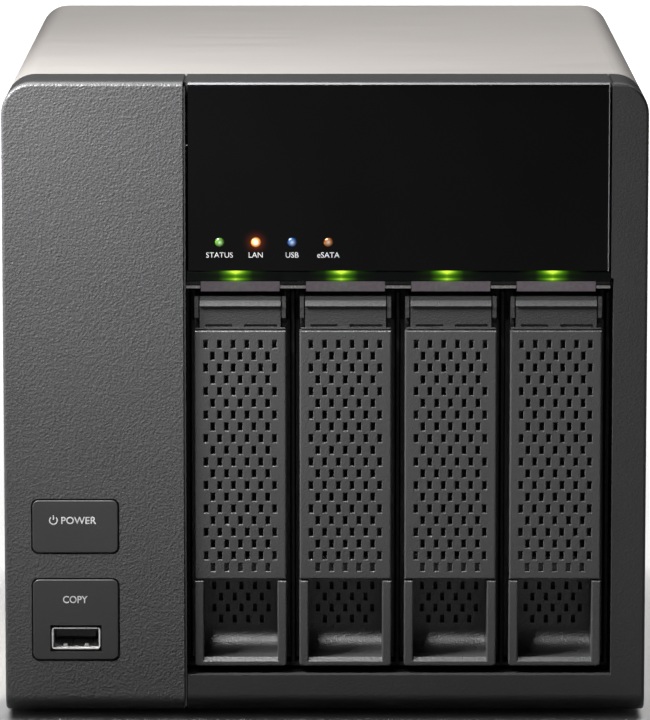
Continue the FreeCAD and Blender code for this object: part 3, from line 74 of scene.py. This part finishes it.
class Surface:
    """A node material built step by step round one principled shader."""

    def __init__(self, name, rough=0.5, metallic=0.0, specular=0.5, coat=0.0):
        self.material = bpy.data.materials.new(name)
        self.material.use_nodes = True
        self.tree = self.material.node_tree
        self.bsdf = self.tree.nodes["Principled BSDF"]
        self.bsdf.inputs["Roughness"].default_value = rough
        self.bsdf.inputs["Metallic"].default_value = metallic
        self.bsdf.inputs["Specular IOR Level"].default_value = specular
        self.bsdf.inputs["Coat Weight"].default_value = coat
        self.bsdf.inputs["Coat Roughness"].default_value = 0.05
        self.coord = self.node("ShaderNodeTexCoord").outputs["Object"]

    # sockets and nodes

    def put(self, socket, given):
        if isinstance(given, bpy.types.NodeSocket):
            self.tree.links.new(given, socket)
        else:
            socket.default_value = given

    def node(self, kind, **inputs):
        made = self.tree.nodes.new(kind)
        for key, given in inputs.items():
            self.put(made.inputs[key.replace("_", " ")], given)
        return made

    def math(self, kind, a, b=0.0, clamp=False):
        made = self.node("ShaderNodeMath")
        made.operation = kind
        made.use_clamp = clamp
        self.put(made.inputs[0], a)
        self.put(made.inputs[1], b)
        return made.outputs[0]

    def times(self, a, b):
        return self.math("MULTIPLY", a, b)

    def plus(self, a, b):
        return self.math("ADD", a, b)

    def power(self, a, b):
        return self.math("POWER", a, b)

    def apart(self, a, b):
        return self.math("ABSOLUTE", self.math("SUBTRACT", a, b))

    def less(self, a, b):
        return self.math("LESS_THAN", a, b)

    def more(self, a, b):
        return self.math("GREATER_THAN", a, b)

    def spread(self, source, low, high, to_low=0.0, to_high=1.0):
        """Straight-line change of range, held at both ends."""
        made = self.node("ShaderNodeMapRange", Value=source, From_Min=low, From_Max=high)
        self.put(made.inputs["To Min"], to_low)
        self.put(made.inputs["To Max"], to_high)
        return made.outputs[0]

    def fade(self, distance, reach):
        """One at no distance, nothing from reach on."""
        return self.spread(distance, 0.0, reach, 1.0, 0.0)

    def blend(self, share, a, b):
        made = self.node("ShaderNodeMix")
        made.data_type = "RGBA"
        self.put(made.inputs[0], share)
        self.put(made.inputs[6], a)
        self.put(made.inputs[7], b)
        return made.outputs[2]

    # patterns

    def axis(self, name):
        return self.node("ShaderNodeSeparateXYZ", Vector=self.coord).outputs[name]

    def noise(self, scale, detail=3.0, rough=0.5, stretch=None):
        vector = self.coord
        if stretch:
            vector = self.node("ShaderNodeMapping", Vector=self.coord, Scale=stretch).outputs[0]
        made = self.node("ShaderNodeTexNoise", Vector=vector, Scale=scale, Detail=detail, Roughness=rough)
        return made.outputs["Fac"]

    def cells(self, scale, feature="F1"):
        made = self.node("ShaderNodeTexVoronoi", Vector=self.coord, Scale=scale)
        made.feature = feature
        if feature == "SMOOTH_F1":
            made.inputs["Smoothness"].default_value = 0.3
        return made.outputs["Distance"]

    def distance(self, point, squash=(1.0, 0.0, 1.0)):
        """Distance from a point, in the front plane unless squash says otherwise."""
        away = self.vector_math("SUBTRACT", self.coord, point)
        flat = self.vector_math("MULTIPLY", away.outputs[0], squash)
        return self.vector_math("LENGTH", flat.outputs[0]).outputs["Value"]

    def vector_math(self, kind, a, b=None):
        made = self.node("ShaderNodeVectorMath")
        made.operation = kind
        self.put(made.inputs[0], a)
        if b is not None:
            self.put(made.inputs[1], b)
        return made

    # what the shader is given

    def colour(self, given):
        self.put(self.bsdf.inputs["Base Color"], given)

    def mottle(self, pattern, a, b):
        """Colour that wanders between two tones with a noise pattern."""
        self.colour(self.blend(self.spread(pattern, 0.3, 0.7), a, b))

    def repaint(self, share, tone):
        """Another tone where share is one, over the colour so far."""
        so_far = self.bsdf.inputs["Base Color"].links[0].from_socket
        self.colour(self.blend(share, so_far, tone))

    def rough(self, given):
        self.put(self.bsdf.inputs["Roughness"], given)

    def rough_from(self, pattern, smoothest, roughest):
        self.rough(self.spread(pattern, 0.3, 0.7, smoothest, roughest))

    def bump(self, height, depth):
        made = self.node("ShaderNodeBump", Height=height, Strength=1.0, Distance=depth)
        self.put(self.bsdf.inputs["Normal"], made.outputs[0])

    def glow(self, tone, strength):
        self.put(self.bsdf.inputs["Emission Color"], tone)
        self.put(self.bsdf.inputs["Emission Strength"], strength)


def dress(surface, *names):
    for name in names:
        mesh = NODES[name].data
        mesh.materials.clear()
        mesh.materials.append(surface.material)


# ---------------------------------------------------------------- kinds of material

def grained_plastic(name, tone, rough, grain, depth, vary=0.12, specular=0.4):
    """Moulded plastic with a fine leather-like grain."""
    s = Surface(name, rough, specular=specular)
    fine = s.noise(grain, 2.0, 0.6)
    s.mottle(s.noise(60.0), scaled(tone, 1 - vary), scaled(tone, 1 + vary))
    s.rough_from(fine, rough - 0.06, rough + 0.08)
    s.bump(s.plus(fine, s.times(s.cells(grain * 0.75, "SMOOTH_F1"), 0.8)), depth)
    return s


def brushed_metal(name, tone, rough, metallic, along, lines=900.0, vary=0.06):
    """Sheet metal with fine lines along one axis."""
    s = Surface(name, rough, metallic)
    stretch = tuple(0.012 if axis == along else 1.0 for axis in "xyz")
    line = s.noise(lines, 2.0, 0.6, stretch)
    wide = s.noise(lines * 0.35, 2.0, 0.5, stretch)
    both = s.plus(s.times(line, 0.6), s.times(wide, 0.4))
    s.colour(s.blend(s.spread(both, 0.35, 0.65), scaled(tone, 1 - vary), scaled(tone, 1 + vary)))
    s.rough_from(line, rough - 0.04, rough + 0.04)
    s.bump(line, 0.012 * MM)
    return s


def plated_steel(name, tone, rough=0.3):
    """Zinc-plated sheet with soft spangle."""
    s = Surface(name, rough, 1.0)
    fine = s.noise(700.0)
    s.colour(s.blend(s.spread(s.cells(90.0), 0.0, 0.9), scaled(tone, 0.86), tone))
    s.rough_from(fine, rough - 0.06, rough + 0.1)
    s.bump(fine, 0.008 * MM)
    return s


def circuit_board(name):
    """Green lacquered board with traces and pads."""
    s = Surface(name, 0.35, coat=0.4)
    traces = s.node("ShaderNodeTexBrick", Vector=s.coord, Scale=220.0, Mortar_Size=0.012,
                    Color1=srgb(18, 74, 42), Color2=srgb(24, 88, 50), Mortar=srgb(34, 110, 62))
    pads = s.spread(s.cells(260.0), 0.0, 0.16, 1.0, 0.0)
    s.colour(s.blend(s.times(pads, 0.7), traces.outputs["Color"], srgb(196, 190, 160)))
    s.rough_from(s.noise(400.0), 0.28, 0.42)
    s.bump(traces.outputs["Fac"], 0.03 * MM)
    return s


def lamp(name, tone, strength, core, at):
    """Lamp lens that glows from its middle."""
    s = Surface(name, 0.18, coat=0.5)
    s.mottle(s.noise(900.0, 2.0), scaled(tone, 0.35), tone)
    fall = s.fade(s.distance(at), core)
    shine = s.power(s.math("ADD", fall, 0.15, clamp=True), 1.5)
    s.glow(s.blend(s.power(fall, 2.0), tone, (1.0, 1.0, 0.9, 1.0)), s.times(shine, strength))
    return s


# ---------------------------------------------------------------- casing

ROLL_DEPTH = 4.2 * MM
FRONT_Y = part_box("control_panel")[0].y


def painted_shade_behind_roll(surface, tone):
    """Painted shade: the flat of the top and sides, behind the rounded front edge, is darkened to look less
    lit than the front.
    """
    surface.repaint(surface.more(surface.axis("Y"), FRONT_Y + ROLL_DEPTH), tone)


cover = brushed_metal("cover_silver", srgb(180, 175, 171), 0.42, 0.85, "x", lines=1500.0, vary=0.035)
dress(cover, "top_cover")

panel = grained_plastic("panel_grey", srgb(70, 70, 71), 0.42, 1900.0, 0.14 * MM, vary=0.03)
# painted shade on the top and sides of the control panel
painted_shade_behind_roll(panel, srgb(30, 30, 31))
dress(panel, "control_panel")

bezel = grained_plastic("bezel_grey", grey(54), 0.46, 2200.0, 0.05 * MM, vary=0.04, specular=0.2)
# painted shade on the top and sides of the bezel frame
painted_shade_behind_roll(bezel, srgb(26, 26, 27))
dress(bezel, "bezel_frame")

button = grained_plastic("button_grey", grey(54), 0.40, 2600.0, 0.02 * MM, vary=0.03)
dress(button, "power_button", "copy_button")
dress(grained_plastic("foot_rubber", grey(28), 0.75, 900.0, 0.08 * MM), "feet")
dress(plated_steel("zinc_steel", srgb(178, 178, 176)), "base_pan", "rear_panel", "psu_case")


# ---------------------------------------------------------------- carriers and levers

HEAD_TALL = 8.3 * MM
BEVEL_TALL = 3.0 * MM
GROOVE_FOOT = 4.0 * MM


def carrier_plastic():
    """Charcoal plastic, duller on the lever's head; its colour there carries painted shade, darkest as a
    painted shadow in the groove under the bevel.
    """
    s = grained_plastic("tray_charcoal", srgb(66, 66, 67), 0.36, 2600.0, 0.07 * MM, vary=0.05, specular=0.55)
    below_top = s.math("SUBTRACT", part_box("lever_1")[1].z, s.axis("Z"))
    in_head = s.less(below_top, HEAD_TALL)
    under_bevel = s.times(in_head, s.more(below_top, BEVEL_TALL))
    groove_shadow = s.times(under_bevel, s.less(below_top, GROOVE_FOOT))
    # painted shadow in the groove, painted shade on the flat below the bevel
    shaded_flat_tone = s.blend(groove_shadow, srgb(24, 24, 25), srgb(12, 12, 13))
    # painted shade over the whole lever head
    s.repaint(in_head, s.blend(under_bevel, srgb(46, 46, 47), shaded_flat_tone))
    grain_rough = s.bsdf.inputs["Roughness"].links[0].from_socket
    s.rough(s.plus(grain_rough, s.times(in_head, 0.30)))
    return s


dress(carrier_plastic(), *per_bay("tray"), *per_bay("lever"))
# painted shade: the drives are toned near black to stand for the shade inside the bays
dress(grained_plastic("drive_aluminium", srgb(40, 41, 43), 0.5, 1200.0, 0.04 * MM), *per_bay("drive"))
# painted shade: cage floor and dividers made near black where the gaps between the trays lie in shade
shade_black_steel = grained_plastic("shade_black_steel", srgb(10, 10, 11), 0.6, 1600.0, 0.02 * MM)
dress(shade_black_steel, "cage_floor", "cage_dividers")


# ---------------------------------------------------------------- window and lamps

LENS_CORE = 1.6 * MM


def window_gloss():
    """Gloss black with a painted highlight along its top and right edge, and a painted glow from the LAN lamp
    on it.
    """
    s = Surface("gloss_black", 0.06, specular=0.10)
    s.mottle(s.noise(30.0), srgb(8, 8, 9), srgb(11, 11, 12))
    s.rough_from(s.noise(600.0), 0.05, 0.09)
    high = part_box("status_window")[1]
    top_edge_highlight = s.more(s.axis("Z"), high.z - 0.35 * MM)
    right_edge_highlight = s.more(s.axis("X"), high.x - 0.30 * MM)
    # painted highlight: a lighter tone along the top and right edge
    s.repaint(s.math("MAXIMUM", top_edge_highlight, right_edge_highlight), srgb(120, 120, 122))
    # painted glow that the LAN lamp would throw on the window
    painted_lan_halo = s.power(s.spread(s.distance(centre("lan_led")), 1.0 * MM, 4.2 * MM, 1.0, 0.0), 2.0)
    s.glow(s.blend(painted_lan_halo, srgb(170, 60, 10), srgb(230, 110, 30)), s.times(painted_lan_halo, 0.16))
    return s


def light_bar_tint():
    """Smoked bar with a bright upper and a second lower line of light before each bay lamp."""
    s = Surface("light_bar_tint", 0.12, specular=0.1)
    s.mottle(s.noise(300.0), srgb(4, 6, 5), srgb(7, 10, 8))
    low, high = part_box("light_bar")
    level = s.spread(s.axis("Z"), low.z, high.z)
    upper_line = s.spread(level, 0.62, 0.95)
    lower_line = s.spread(s.apart(level, 0.24), 0.0, 0.16, 0.6, 0.0)
    lines = s.plus(s.plus(upper_line, lower_line), 0.40)

    first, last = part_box("bay_leds")
    lamp_half = 1.5 * MM
    pitch = (last.x - first.x - 2 * lamp_half) / (len(BAYS) - 1)
    shine = 0.0
    for k in range(len(BAYS)):
        at = (first.x + lamp_half + k * pitch, 0.0, 0.0)
        near = s.distance(at, (1.0, 0.0, 0.0))
        core = s.power(s.fade(near, 5.0 * MM), 1.7)
        wide = s.power(s.fade(near, 10.5 * MM), 2.0)
        shine = s.plus(shine, s.plus(core, s.times(wide, 0.09)))
    shine = s.times(shine, lines)
    s.glow(s.blend(s.spread(shine, 0.3, 1.1), srgb(104, 186, 10), srgb(196, 240, 60)), s.times(shine, 1.15))
    return s


dress(window_gloss(), "status_window")
dress(light_bar_tint(), "light_bar")
dress(lamp("bay_lamp_green", srgb(120, 230, 70), 2.0, 2.0 * MM, centre("bay_leds")), "bay_leds")
for name, node, tone, strength in (
    ("lamp_green", "status_led", srgb(74, 140, 10), 0.55),
    ("lamp_orange", "lan_led", srgb(240, 140, 50), 2.4),
    ("lamp_blue", "usb_led", srgb(14, 84, 150), 0.6),
    ("lamp_amber", "esata_led", srgb(150, 84, 18), 0.45),
):
    dress(lamp(name, tone, strength, LENS_CORE, centre(node)), node)


# ---------------------------------------------------------------- shelf over the bays

LIP_WALL = 1.05 * MM
LIP_HALF = 11.05 * MM
BAR_DROP = 1.72 * MM


def shelf_steel():
    """Painted lip over each lever, bright bar between bays, and the sheet behind made near black as painted
    shade.
    """
    s = plated_steel("shelf_steel", srgb(205, 203, 200), 0.25)
    steel_tone = s.bsdf.inputs["Base Color"].links[0].from_socket
    beside = 0.0
    for lever in per_bay("lever"):
        off = s.apart(s.axis("X"), centre(lever).x)
        beside = s.math("MAXIMUM", beside, s.less(off, LIP_HALF))
    in_lip = s.times(beside, s.less(s.axis("Y"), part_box("cage_roof")[0].y + LIP_WALL))
    on_bar = s.less(s.axis("Z"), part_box("light_bar")[0].z - BAR_DROP)
    # painted shade: near black on the sheet outside the lips and above the bar
    s.colour(s.blend(in_lip, s.blend(on_bar, srgb(16, 16, 17), steel_tone), srgb(174, 161, 172)))
    bare = s.math("SUBTRACT", 0.4, in_lip, clamp=True)
    s.put(s.bsdf.inputs["Metallic"], s.times(on_bar, bare))
    return s


dress(shelf_steel(), "cage_roof")


# ---------------------------------------------------------------- fixings, sockets and inside

port = brushed_metal("port_metal", srgb(210, 210, 208), 0.22, 1.0, "y", vary=0.05)
dress(port, "network_ports", "rear_usb_ports")
dress(brushed_metal("socket_rim", srgb(235, 235, 233), 0.3, 0.35, "y", vary=0.05), "front_usb_shell")
dress(brushed_metal("bright_steel", grey(215), 0.2, 1.0, "z", vary=0.04),
      "fan_guard", "fan_screws", "cover_screws", "standoffs", *per_bay("lever_pin"), *per_bay("drive_screws"))
dress(brushed_metal("sink_aluminium", srgb(190, 192, 195), 0.35, 1.0, "y"), "heatsink")
dress(circuit_board("board_green"), "indicator_board", "control_board", "backplane_board", "mainboard")
dress(grained_plastic("black_plastic", srgb(30, 30, 31), 0.45, 1800.0, 0.03 * MM),
      "tact_switches", "front_usb_tongue", "drive_connectors", "esata_ports", "fan_frame", "fan_rotor",
      "power_inlet", "psu_fan_rotor")


# ---------------------------------------------------------------- new pieces

def as_piece(name, mesh, body, surface):
    mesh.materials.clear()
    mesh.materials.append(surface.material)
    piece = bpy.data.objects.new(name, mesh)
    bpy.context.scene.collection.objects.link(piece)
    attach(piece, body)


def as_mesh(name, bm):
    mesh = bpy.data.meshes.new(name)
    bm.to_mesh(mesh)
    bm.free()
    return mesh


# ---------------------------------------------------------------- lettering

INK_DEEP = 0.01 * MM

ink = Surface("label_white", 0.5)
ink.mottle(ink.noise(900.0), grey(196), grey(216))


def label(name, text, place, height, body, wide=1.0, bold=0.0):
    """Raised lettering on a front face, with the middle of its foot at place."""
    curve = bpy.data.curves.new(name + "_curve", "FONT")
    curve.body = text
    curve.align_x = "CENTER"
    curve.size = height / 0.70
    curve.extrude = INK_DEEP
    curve.resolution_u = 4
    curve.offset = height * bold
    temp = bpy.data.objects.new(name + "_temp", curve)
    bpy.context.scene.collection.objects.link(temp)
    bpy.context.view_layer.update()
    mesh = bpy.data.meshes.new_from_object(temp)
    bpy.data.objects.remove(temp)
    upright = Matrix.Rotation(math.pi / 2, 4, "X")
    mesh.transform(Matrix.Translation(place) @ upright @ Matrix.Diagonal((wide, 1, 1, 1)))
    mesh.name = name
    as_piece(name, mesh, body, ink)


def standby_mark(name, place, radius, body):
    """Standby mark: an open ring with a short bar in its gap."""
    x, y, z = place
    width = radius * 0.26
    start, end = math.radians(130), math.radians(410)
    steps = 28
    bm = bmesh.new()
    pairs = []
    for k in range(steps + 1):
        turn = start + (end - start) * k / steps
        reach = (radius - width, radius)
        pairs.append([bm.verts.new((x + r * math.cos(turn), y, z + r * math.sin(turn))) for r in reach])
    for a, b in zip(pairs, pairs[1:]):
        bm.faces.new((a[0], a[1], b[1], b[0]))
    half = width / 2
    low, high = radius * 0.12, radius * 1.12
    bar = ((-half, low), (half, low), (half, high), (-half, high))
    bm.faces.new([bm.verts.new((x + across, y, z + up)) for across, up in bar])
    made = bmesh.ops.extrude_face_region(bm, geom=bm.faces[:])
    raised = [v for v in made["geom"] if isinstance(v, bmesh.types.BMVert)]
    bmesh.ops.translate(bm, vec=(0, -INK_DEEP, 0), verts=raised)
    bmesh.ops.recalc_face_normals(bm, faces=bm.faces)
    as_piece(name, as_mesh(name, bm), body, ink)


LAMP_LABEL_DROP = 4.3 * MM
window_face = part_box("status_window")[0].y - 0.03 * MM
for name, node, text in (
    ("status_label", "status_led", "STATUS"),
    ("lan_label", "lan_led", "LAN"),
    ("usb_label", "usb_led", "USB"),
    ("esata_label", "esata_led", "eSATA"),
):
    lens = centre(node)
    place = (lens.x, window_face, lens.z - LAMP_LABEL_DROP)
    label(name, text, place, 1.5 * MM, "chassis", wide=1.02, bold=-0.004)

KEY_LABEL_DROP = 8.0 * MM
KEY_LABEL_TALL = 2.0 * MM
KEY_BOLD = 0.016
MARK_OFF = 6.1 * MM
key_mid = centre("power_button").x
key_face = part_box("power_button")[0].y - 0.02 * MM
power_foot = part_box("power_button")[1].z - KEY_LABEL_DROP
copy_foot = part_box("copy_button")[1].z - KEY_LABEL_DROP
label("power_label", "POWER", (key_mid + 0.9 * MM, key_face, power_foot), KEY_LABEL_TALL,
      "power_key", bold=KEY_BOLD)
standby_mark("power_mark", (key_mid - MARK_OFF, key_face, power_foot + KEY_LABEL_TALL / 2), 1.25 * MM,
             "power_key")
label("copy_label", "COPY", (key_mid - 0.2 * MM, key_face, copy_foot), KEY_LABEL_TALL,
      "copy_key", wide=0.92, bold=KEY_BOLD)


# ---------------------------------------------------------------- contact springs

def spring_tab(name, x):
    """Bent-in contact spring on the lower wall of the front USB shell."""
    shell_wall = 0.4 * MM
    across, deep, tall = 1.1 * MM, 1.2 * MM, 1.1 * MM
    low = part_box("front_usb_shell")[0]
    bm = bmesh.new()
    bmesh.ops.create_cube(bm, size=1.0)
    bmesh.ops.scale(bm, vec=(across, deep, tall), verts=bm.verts)
    bmesh.ops.translate(bm, vec=(x, low.y + deep, low.z + shell_wall + tall / 2), verts=bm.verts)
    bmesh.ops.bevel(bm, geom=bm.edges[:], offset=0.15 * MM, segments=2, affect="EDGES")
    as_piece(name, as_mesh(name, bm), "chassis", port)


TAB_OFF = 3.0 * MM
for name, side in (("usb_tab_left", -1), ("usb_tab_right", 1)):
    spring_tab(name, centre("front_usb_shell").x + side * TAB_OFF)


# ---------------------------------------------------------------- floor and world

floor_bm = bmesh.new()
bmesh.ops.create_grid(floor_bm, x_segments=2, y_segments=2, size=6.0)
floor = bpy.data.objects.new("floor", as_mesh("floor", floor_bm))
bpy.context.scene.collection.objects.link(floor)
floor_pale = Surface("floor_pale", 0.9)
floor_tone = (0.92, 0.92, 0.92, 1.0)
floor_pale.mottle(floor_pale.noise(3.0), floor_tone, scaled(floor_tone, 0.985))
floor.data.materials.append(floor_pale.material)

world = bpy.data.worlds.new("studio")
bpy.context.scene.world = world
world.use_nodes = True
world.node_tree.nodes["Background"].inputs["Color"].default_value = (1, 1, 1, 1)
world.node_tree.nodes["Background"].inputs["Strength"].default_value = 0.05


# ---------------------------------------------------------------- lights

def area(name, place, target, size, power, spread=180):
    data = bpy.data.lights.new(name, "AREA")
    data.shape = "RECTANGLE"
    data.size, data.size_y = size
    data.energy = power
    data.spread = math.radians(spread)
    light = bpy.data.objects.new(name, data)
    bpy.context.scene.collection.objects.link(light)
    light.location = place
    light.rotation_euler = (Vector(target) - Vector(place)).to_track_quat("-Z", "Y").to_euler()
    return light


def limit(light, name, state):
    """Leave the floor out of what a light reaches, or let it reach nothing else."""
    reached = bpy.data.collections.new(name)
    reached.objects.link(floor)
    reached.collection_objects[0].light_linking.link_state = state
    light.light_linking.receiver_collection = reached


key = area("key", (-0.22, -0.20, 0.34), (-0.06, -0.1175, 0.17), (0.12, 0.12), 0.82, spread=75)
limit(key, "key_leaves_out", "EXCLUDE")

front_top = area("front_top", (-0.15, -0.42, 0.52), (0.0, -0.11, 0.03), (0.14, 0.10), 6.0)
front_top.visible_diffuse = False
limit(front_top, "front_top_leaves_out", "EXCLUDE")

area("overhead", (0.0, 1.65, 2.4), (0.0, 1.65, 0.0), (3.0, 2.3), 88.0)

floor_wash = area("floor_wash", (0.0, 2.0, 1.6), (0.0, 1.9, 0.0), (3.0, 2.0), 30.0)
limit(floor_wash, "wash_reaches", "INCLUDE")


# ---------------------------------------------------------------- camera

CAMERA_AWAY = 1.7
CAMERA_LEVEL = 0.3484
CAMERA_TILT = 8.834

camera_data = bpy.data.cameras.new("camera")
camera_data.sensor_width = 36.0
camera_data.lens = 286.66
camera_data.clip_start = 0.05
camera_data.clip_end = 50.0
camera = bpy.data.objects.new("camera", camera_data)
bpy.context.scene.collection.objects.link(camera)
camera.location = (0.0, -CAMERA_AWAY, CAMERA_LEVEL)
camera.rotation_euler = (math.radians(90 - CAMERA_TILT), 0.0, 0.0)
bpy.context.scene.camera = camera
bpy.context.scene.view_settings.view_transform = "Standard"
